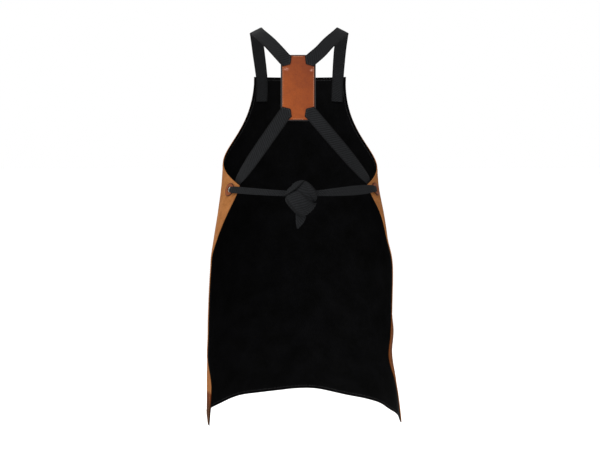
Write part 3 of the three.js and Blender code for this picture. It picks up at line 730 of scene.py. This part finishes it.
SIDES = {"left": -1, "right": 1}
for hand, side in SIDES.items():
    way = [panel_frame(side * BIB_END["across"], level, BIB_END["out"]) for level in BIB_END["levels"]]
    for row in SHOULDER_ROUTE:
        point = (SHOULDER_X + side * row["out"], row["y"], row["z"])
        way.append((point, np.array(row["normal"]) * (-side, 1, 1)))
    stations = [station(point, normal) for point, normal in way] + pointed_end(TOP_END, side)
    strap = webbing(f"shoulder_webbing_{hand}", stations, cotton)
    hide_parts(f"shoulder_strap_{hand}")


# Yoke
# A patch of rust-brown cowhide with a black backing a little larger than it, sewn together along the edges.
# The four strap ends are sewn on top of its corners.

YOKE_WIDTH = 73
YOKE_HEIGHT = 145
YOKE_CORNER = 2.5
BACKING_SIDE = 3
BACKING_END = 2
EDGE_ROUND = 0.9
EDGE_DROP = 0.72
YOKE_COLUMNS = 45
YOKE_ROWS = 91


def spread(half, count):
    """Places from one edge to the other, closer together towards the edges."""
    return half * np.sin(np.linspace(-math.pi / 2, math.pi / 2, count))


def yoke_layer(name, width, height, thick, out, material):
    """A flat layer of the yoke with rounded corners and a rounded upper edge."""
    x, y = np.meshgrid(spread(width / 2, YOKE_COLUMNS), spread(height / 2, YOKE_ROWS))
    over_x = np.maximum(np.abs(x) - width / 2 + YOKE_CORNER, 0)
    over_y = np.maximum(np.abs(y) - height / 2 + YOKE_CORNER, 0)
    square, straight = np.maximum(over_x, over_y), np.hypot(over_x, over_y)
    pull = np.where(straight > 0, square / np.maximum(straight, 1e-9), 1) - 1
    x, y = x + np.sign(x) * over_x * pull, y + np.sign(y) * over_y * pull
    from_side = np.minimum(width / 2 - np.abs(x), height / 2 - np.abs(y))
    from_edge = np.where((over_x > 0) & (over_y > 0), YOKE_CORNER - square, from_side)
    drop = EDGE_DROP * (1 - np.sqrt(1 - np.clip(1 - from_edge / EDGE_ROUND, 0, 1) ** 2))
    top, bottom = on_yoke(x, y, out + thick - drop), on_yoke(x, y, out)
    return make_layer(name, top, bottom, np.stack([x, y, x * 0], -1), material)


# Vegetable-tanned cowhide: a close pebbled grain with a soft polish, paler towards its left side and its foot
# and darker at its burnished edge, with two rubbed marks under the upper straps. The grain is drawn at 2.2 mm
# to show.
cowhide, tree, shader = new_material("vegetable-tanned cowhide")
place = add_node(tree, "Attribute", **PLACE)
right = add_node(tree, "SeparateXYZ", {"Vector": place}, "X")
up = add_node(tree, "SeparateXYZ", {"Vector": place}, "Y")
cloud = add_node(tree, "TexNoise", {"Vector": place, "Scale": size(26), "Detail": 4, "Roughness": 0.6})
to_left = add_node(tree, "MapRange", {"Value": right, "From": (20 * MM, -36 * MM), "To": (0, 0.35)})
to_foot = add_node(tree, "MapRange", {"Value": up, "From": (60 * MM, -70 * MM), "To": (0, 0.45)})
clouded = add_node(tree, "MapRange", {"Value": cloud, "From": (0.3, 0.7), "To": (-0.12, 0.2)})
paler = add_node(tree, "Math", {0: to_left, 1: to_foot}, operation="ADD")
tone = add_node(tree, "Math", {0: paler, 1: clouded}, operation="ADD", use_clamp=True)
rust = add_node(tree, "Mix", {0: tone, 6: "#6c2b06", 7: "#964812"}, **BLEND)
BURNISH_WIDTH = 2
burnish = {}
for i, (way, half) in enumerate(((right, YOKE_WIDTH / 2), (up, YOKE_HEIGHT / 2))):
    beyond = add_node(tree, "Math", {0: way}, operation="ABSOLUTE")
    rim = {"Value": beyond, "From": ((half - BURNISH_WIDTH) * MM, half * MM)}
    burnish[i] = add_node(tree, "MapRange", rim)
at_edge = add_node(tree, "Math", burnish, operation="MAXIMUM")
rubbed = add_node(tree, "Mix", {0: at_edge, 6: rust, 7: "#5a2b16"}, **BLEND)
RUBS = [
    {"right": -27, "up": 42, "wide": 8, "high": 5},
    {"right": 30, "up": 40, "wide": 5, "high": 5},
]
broken = add_node(tree, "TexNoise", {"Vector": place, "Scale": size(4), "Detail": 3, "Roughness": 0.7})
patchy = add_node(tree, "MapRange", {"Value": broken, "From": (0.4, 0.62)})
for row in RUBS:
    away = oval(tree, place, row)
    fade = {"Value": away, "From": (1, 0.2), "To": (0, 0.7)}
    near = add_node(tree, "MapRange", fade, interpolation_type="SMOOTHSTEP")
    rub = add_node(tree, "Math", {0: near, 1: patchy}, operation="MULTIPLY")
    rubbed = add_node(tree, "Mix", {0: rub, 6: rubbed, 7: "#c28e7c"}, **BLEND)
pebble = add_node(tree, "TexVoronoi", {"Vector": place, "Scale": size(2.2)})
pores = add_node(tree, "MapRange", {"Value": pebble, "From": (0.1, 0.8), "To": (1.06, 0.86)})
grained = add_node(tree, "Mix", {0: 1, 6: rubbed, 7: pores}, **TIMES)
polish = add_node(tree, "MapRange", {"Value": cloud, "From": (0.3, 0.7), "To": (0.42, 0.62)})
relief = add_node(tree, "Bump", {"Height": pebble, "Strength": 0.3, "Distance": -0.4 * MM})
fill(shader, {"Base Color": grained, "Normal": relief, "Roughness": polish, "Specular IOR Level": 0.2})

# Split leather dyed black: a matt, slightly fibrous edge that frames the patch.
split, tree, shader = new_material("black split leather")
fibre = add_node(tree, "TexNoise", {"Scale": size(2.5), "Detail": 3, "Roughness": 0.7})
dyed = add_node(tree, "Mix", {0: fibre, 6: "#0d0d0e", 7: "#262526"}, **BLEND)
relief = add_node(tree, "Bump", {"Height": fibre, "Strength": 0.4, "Distance": 0.5 * MM})
fill(shader, {"Base Color": dyed, "Normal": relief, "Roughness": 0.85})

backing_size = (YOKE_WIDTH + 2 * BACKING_SIDE, YOKE_HEIGHT + 2 * BACKING_END)
backing = yoke_layer("yoke_backing_leather", *backing_size, BACKING_THICK, 0, split)
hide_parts("yoke_backing")
patch_low = BACKING_THICK + LAYER_GAP
patch = yoke_layer("yoke_leather", YOKE_WIDTH, YOKE_HEIGHT, LEATHER_THICK, patch_low, cowhide)
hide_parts("yoke_patch")


def yoke_seam(corners, step, out):
    """A line through places on the yoke, with its normals, to be sewn along."""
    line = on_yoke(*even_steps(corners, step).T, out)
    return line, np.broadcast_to(YOKE_NORMAL, line.shape)


# Sewn down both long sides and across the ends where the straps leave the leather bare.
YOKE_SEAMS = [
    [(-34.6, -42), (-34.6, 47)],
    [(34.6, -42), (34.6, 47)],
    [(-11, 70.5), (11, 70.5)],
    [(-12, -70.5), (12, -70.5)],
]
YOKE_STEP = 3
pale_thread = thread_material("pale waxed thread", "#b98463")
rows = [yoke_seam(ends, YOKE_STEP, patch_low + LEATHER_THICK) for ends in YOKE_SEAMS]
sew("yoke_stitching", rows, pale_thread)

# Each strap end is held by one row that follows its point.
POINT_ROW = [(-14, -11.5), (-10.5, -11.5), (-3, 0), (-10.5, 11.5), (-14, 11.5)]
POINT_STEP = 2
rows = []
for end in (TOP_END, LOW_END):
    for side in SIDES.values():
        tip = np.array([side * end["tip_right"], end["tip_up"]])
        along = unit(tip - np.array([side * end["right"], end["up"]]))
        across = np.array([-along[1], along[0]])
        corners = [tip + a * along + b * across for a, b in POINT_ROW]
        rows.append(yoke_seam(corners, POINT_STEP, YOKE_STACK + STRAP_THICK))
sew("strap_end_stitching", rows, black_thread)


# Waist straps
# The same webbing from the yoke's lower corners to the side tabs. Each one goes down inside its tab, out
# through the eyelet, drawn together there, and back across to the knot.

# Down the back, as a share of the way from the yoke to the tab. bulge stands off the straight line, and
# section is the width and thickness where the webbing narrows.
BACK_RUN = [
    {"share": 0.12, "bulge": 10},
    {"share": 0.25, "bulge": 17},
    {"share": 0.5, "bulge": 20},
    {"share": 0.72, "bulge": 17},
    {"share": 0.9, "bulge": 8, "section": (27, 1.7)},
]
# Round the tab: down its inner face, out through the eyelet and back over its outer face.
TAB_RUN = [
    {"from_edge": 11, "level": -341, "out": -4.2, "width": 21, "thick": 2.2, "facing": 1},
    {"from_edge": 18, "level": -352, "out": -6.6, "width": 14, "thick": 2.6, "facing": 1},
    {"from_edge": 22.8, "level": -362, "out": -7.4, "width": 9, "thick": 2.6, "facing": 1},
    {"from_edge": 24, "level": -364, "out": -3.4, "width": 7.8, "thick": 2.2, "facing": 0},
    {"from_edge": 24.1, "level": -364, "out": 2.2, "width": 7.6, "thick": 2.2, "facing": 0},
    {"from_edge": 22.9, "level": -364, "out": 5.8, "width": 8.2, "thick": 2.2, "facing": -0.4},
    {"from_edge": 19.4, "level": -364, "out": 7.3, "width": 11.5, "thick": 2.2, "facing": -0.9},
    {"from_edge": 14.5, "level": -364, "out": 7.7, "width": 14.5, "thick": 2.4, "facing": -1},
    {"from_edge": 7, "level": -363.5, "out": 8.2, "width": 15.5, "thick": 2.6, "facing": -1},
]
# Across to the knot. The right tie lies opened out most of the way.
TIE_RUN = [
    {"share": 0.12, "bulge": 4, "left": 15.5, "right": 21, "thick": 3},
    {"share": 0.35, "bulge": 10, "left": 15, "right": 22, "thick": 3},
    {"share": 0.65, "bulge": 10, "left": 14, "right": 18, "thick": 3},
    {"share": 1, "bulge": 0, "left": 12.4, "right": 11, "thick": 3.4},
]
KNOT_CENTRE = np.array([1.5, -141, -386])
TIE_IN_KNOT = {"side": 27, "in": 10, "up": 8}
TO_BACK = np.array([0, -1, 0])

for hand, side in SIDES.items():
    end = pointed_end(LOW_END, side)[::-1]
    corner = end[-1]["point"]
    tab = []
    for row in TAB_RUN:
        across = side * (HALF_WIDTH - row["from_edge"])
        point, normal = panel_frame(across, row["level"], row["out"])
        edgeward = unit(panel_points(across + side, row["level"]) - panel_points(across, row["level"]))
        facing = normal * row["facing"] + edgeward * (1 - abs(row["facing"]))
        tab.append(station(point, unit(facing), row["width"], row["thick"]))
    back = []
    for row in BACK_RUN:
        point = corner + (tab[0]["point"] - corner) * row["share"] + row["bulge"] * TO_BACK
        turned = YOKE_NORMAL + (tab[0]["normal"] - YOKE_NORMAL) * row["share"] ** 2
        back.append(station(point, unit(turned), *row.get("section", (STRAP_WIDTH, STRAP_THICK))))
    at_knot = KNOT_CENTRE + (side * TIE_IN_KNOT["side"], TIE_IN_KNOT["in"], TIE_IN_KNOT["up"])
    tie = []
    for row in TIE_RUN:
        point = tab[-1]["point"] + (at_knot - tab[-1]["point"]) * row["share"] + row["bulge"] * TO_BACK
        turned = tab[-1]["normal"] + (-TO_BACK - tab[-1]["normal"]) * row["share"]
        tie.append(station(point, unit(turned), row[hand], row["thick"]))
    strap = webbing(f"waist_webbing_{hand}", end + back + tab + tie, cotton)
    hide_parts(f"waist_strap_{hand}")


# Washers and eyelets
# A nickel-plated brass eyelet goes through suede and lining on each tab, with a flange on the inside.
# A ring of bridle leather is sewn over its outer end, so only the bore shows in the ring, and the ties run
# through both.

WASHER_INNER = 7.2
WASHER_OUTER = 14.7
WASHER_LOW = 2.2
WASHER_HIGH = 4.6
WASHER_SIDES = 72

# Bridle leather: dense and waxed, dark brown, with darker cut edges, and painted shade along the ring's outer
# rim.
bridle, tree, shader = new_material("bridle leather")
place = add_node(tree, "Attribute", **PLACE)
away = add_node(tree, "VectorMath", {0: place}, "Value", operation="LENGTH")
# The outer rim is darkened: the dark cut edge, and painted shade where the ring's edge turns down.
dark_edge = [(WASHER_OUTER - inset) * MM for inset in (2.2, 0.6)]
rim = add_node(tree, "MapRange", {"Value": away, "From": dark_edge})
waxed = add_node(tree, "TexNoise", {"Vector": place, "Scale": size(3), "Detail": 3, "Roughness": 0.6})
brown = add_node(tree, "Mix", {0: waxed, 6: "#5f2e15", 7: "#7f4220"}, **BLEND)
cut_edge_and_shade = add_node(tree, "Mix", {0: rim, 6: brown, 7: "#3c1b0c"}, **BLEND)
relief = add_node(tree, "Bump", {"Height": waxed, "Strength": 0.25, "Distance": 0.4 * MM})
fill(shader, {"Base Color": cut_edge_and_shade, "Normal": relief, "Roughness": 0.6, "Specular IOR Level": 0.2})

# Nickel plate on brass: bright, and dulled by wear to a satin with fine handling marks.
nickel, tree, shader = new_material("nickel-plated brass")
marks = add_node(tree, "TexNoise", {"Scale": size(1.2), "Detail": 3, "Roughness": 0.6})
dulled = add_node(tree, "MapRange", {"Value": marks, "From": (0.35, 0.7), "To": (0.3, 0.48)})
fill(shader, {"Base Color": "#d9d7d1", "Metallic": 1, "Roughness": dulled})

# The ring's section, as radius and height: a flat foot, and edges rounded over at the top.
ROUNDED_OVER = [{"in": 0, "down": 0.6}, {"in": 0.3, "down": 0.15}, {"in": 0.9, "down": 0}]
outside = [(WASHER_OUTER - row["in"], WASHER_HIGH - row["down"]) for row in ROUNDED_OVER]
inside = [(WASHER_INNER + row["in"], WASHER_HIGH - row["down"]) for row in ROUNDED_OVER]
WASHER_SECTION = [(WASHER_OUTER, WASHER_LOW)] + outside + inside[::-1] + [(WASHER_INNER, WASHER_LOW)]
# The eyelet's section: a flat inner flange, the barrel, and a rounded end just under the ring.
EYELET_BORE = 6.4
EYELET_BARREL = 7.0
EYELET_FLANGE = 9.6
EYELET_FLANGE_THICK = 1.0
EYELET_TOP = WASHER_LOW - LAYER_GAP
EYELET_BOTTOM = -2.4
FLANGE_ROUND = 0.4
FLANGE_LIP = 0.3
END_STEPS = 9
end_radius = (EYELET_BARREL - EYELET_BORE) / 2
EYELET_SECTION = [
    (EYELET_BORE, EYELET_BOTTOM - 0.7 * EYELET_FLANGE_THICK),
    (EYELET_BORE + FLANGE_ROUND, EYELET_BOTTOM - EYELET_FLANGE_THICK),
    (EYELET_FLANGE - FLANGE_ROUND, EYELET_BOTTOM - EYELET_FLANGE_THICK),
    (EYELET_FLANGE, EYELET_BOTTOM - 0.5 * EYELET_FLANGE_THICK),
    (EYELET_FLANGE - FLANGE_LIP, EYELET_BOTTOM),
    (EYELET_BARREL, EYELET_BOTTOM),
]
for turn in np.linspace(0, math.pi, END_STEPS):
    over = EYELET_BORE + end_radius * (1 + math.cos(turn))
    EYELET_SECTION.append((over, EYELET_TOP - end_radius * (1 - math.sin(turn))))

for hand, side in SIDES.items():
    angle = full_turn(WASHER_SIDES)
    radius, height = np.array(WASHER_SECTION).T
    right = radius * np.cos(angle)[:, None]
    up = radius * np.sin(angle)[:, None]
    out = np.broadcast_to(height, right.shape)
    ring = panel_frame(side * (HALF_WIDTH - EYELET_FROM_EDGE + right), EYELET_LEVEL + up, out)[0]
    faces = skin_faces(WASHER_SIDES, len(radius), closed=True)
    washer = make_piece(f"leather_washer_{hand}", ring, faces, bridle, np.stack([right, up, out * 0], -1))
    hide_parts(f"washer_{hand}")
    radius, height = np.array(EYELET_SECTION).T
    rings = on_eyelet(side, radius, height, WASHER_SIDES)
    faces = skin_faces(len(radius), WASHER_SIDES, closed=True)
    eyelet = make_piece(f"nickel_eyelet_{hand}", rings, faces, nickel)
    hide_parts(f"eyelet_{hand}")


# Knot
# The two ties are knotted at the back in a bulky overhand knot: broad folded wraps of the webbing lie side
# by side on a slant over the core, one fold lies over their upper ends, and one short end, cut on the slant,
# hangs out below.

WRAP_LEAN = math.radians(42.6)
WRAP_AXIS = np.array([math.cos(WRAP_LEAN), 0, math.sin(WRAP_LEAN)])
WRAP_RISE = np.array([-math.sin(WRAP_LEAN), 0, math.cos(WRAP_LEAN)])
# Each wrap: its middle across the slant, along it and out, how far it reaches up and down the slant, its
# depth, width and thickness, and the width of its lower end as a share. Its left edge runs straight down.
WRAPS = [
    {"middle": (21, -1, -5), "up": 27, "down": 29, "depth": 18, "width": 31, "thick": 9, "tail": 0.7},
    {"middle": (-9, -5, 3), "up": 33, "down": 35, "depth": 23, "width": 40, "thick": 10, "tail": 1.18},
    {"middle": (-22, -6, -1), "up": 30, "down": 27, "depth": 17, "width": 22, "thick": 9, "tail": 0.6},
]
WRAP_HEAD = 0.75
PLEATS = 5.5
PLEAT_DEPTH = 0.1
CROWN_DROP = 1.3
CROWN_POWER = 2.6
INSIDE_DROP = 0.6
CORE = np.array([29, 18, 38])
CORE_WEBBING = {"half_width": 12, "length": 30}
CORE_ROWS = 24
CORE_SIDES = 48
WRAP_STEPS = 96
WRAP_ACROSS = 29
# Places of the upper fold and the hanging end: to the right of the knot's middle, up and out, and the width.
KNOT_FOLD = [
    {"right": -34, "up": 9, "out": -2, "width": 12},
    {"right": -29, "up": 13, "out": 9, "width": 13},
    {"right": -15, "up": 24, "out": 15, "width": 14},
    {"right": -3, "up": 34, "out": 9, "width": 14},
    {"right": 4, "up": 37, "out": -2, "width": 12},
]
KNOT_FOLD_FACING = (-0.45, -0.7, 0.55)
KNOT_FOLD_THICK = 4.5
KNOT_END = [
    {"right": 0, "up": -22, "out": 4, "width": 24},
    {"right": 0, "up": -45, "out": 7, "width": 24},
    {"right": -3, "up": -57, "out": 8, "width": 17},
    {"right": -7, "up": -70, "out": 7, "width": 3},
]
KNOT_END_FACING = (0.25, -1, 0)
KNOT_END_THICK = 3


def knot_wrap(wrap):
    """A closed band round the core, folded along its length, and its places on the flat webbing."""
    across, along, out = wrap["middle"]
    middle = KNOT_CENTRE + out * TO_BACK + across * WRAP_AXIS + along * WRAP_RISE
    half, thin = wrap["width"] / 2, wrap["thick"] / 2
    u = np.linspace(-1, 1, WRAP_ACROSS)
    pleats = PLEAT_DEPTH * (np.cos(PLEATS * math.pi * u) - 1) * (1 - u**6)
    crown = 1 - CROWN_DROP * np.abs(u) ** CROWN_POWER + pleats
    outer = np.stack([half * u, thin * crown], -1)
    inner = np.stack([half * u, -thin * (1 - INSIDE_DROP * u**6)], -1)
    section = np.concatenate([outer, inner[::-1]])
    angle = full_turn(WRAP_STEPS)
    reach = np.where(np.cos(angle) > 0, wrap["up"], wrap["down"]) - thin
    radial = np.cos(angle)[:, None] * WRAP_RISE + np.sin(angle)[:, None] * TO_BACK
    risen = (reach * np.cos(angle))[:, None] * WRAP_RISE
    deep = ((wrap["depth"] - thin) * np.sin(angle))[:, None] * TO_BACK
    kept = np.where(np.cos(angle) > 0, WRAP_HEAD, wrap["tail"])
    wide = kept + (1 - kept) * np.abs(np.sin(angle))
    aside = np.where(np.cos(angle) > 0, 0, (wide - 1) * half)
    sideways = WRAP_AXIS * (wide[:, None, None] * section[:, :1] + aside[:, None, None])
    points = (middle + risen + deep)[:, None] + sideways + radial[:, None] * section[:, 1:]
    run = angle * (wrap["down"] + wrap["depth"]) / 2
    flat_across = np.concatenate([u, u[::-1]]) * STRAP_WIDTH / 2
    flat = np.stack(np.broadcast_arrays(flat_across, run[:, None], 0), -1)
    return points.reshape(-1, 3), flat.reshape(-1, 3)


points, flat = (np.concatenate(parts) for parts in zip(*[knot_wrap(wrap) for wrap in WRAPS]))
faces = skin_faces(WRAP_STEPS, 2 * WRAP_ACROSS, closed=True)
faces = np.concatenate([faces + i * WRAP_STEPS * 2 * WRAP_ACROSS for i in range(len(WRAPS))])
wraps = make_piece("knot_wraps", points, faces, cotton, flat)
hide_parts("waist_knot")

tilt = np.linspace(0, math.pi, CORE_ROWS + 2)[1:-1, None]
turn = full_turn(CORE_SIDES)
right, out, up = np.sin(tilt) * np.cos(turn), np.sin(tilt) * np.sin(turn), np.cos(tilt)
points = KNOT_CENTRE + CORE * np.stack(np.broadcast_arrays(right, out, up), -1)
across, run = CORE_WEBBING["half_width"] * np.cos(turn), CORE_WEBBING["length"] * tilt
flat = np.stack(np.broadcast_arrays(across, run, 0), -1)
core = make_piece("knot_core", points, skin_faces(CORE_ROWS, CORE_SIDES), cotton, flat)

for name, rows, facing, thick in (
    ("knot_fold", KNOT_FOLD, KNOT_FOLD_FACING, KNOT_FOLD_THICK),
    ("knot_end", KNOT_END, KNOT_END_FACING, KNOT_END_THICK),
):
    stations = []
    for row in rows:
        point = KNOT_CENTRE + (row["right"], -row["out"], row["up"])
        stations.append(station(point, unit(np.array(facing)), row["width"], thick))
    webbing(name, stations, cotton)
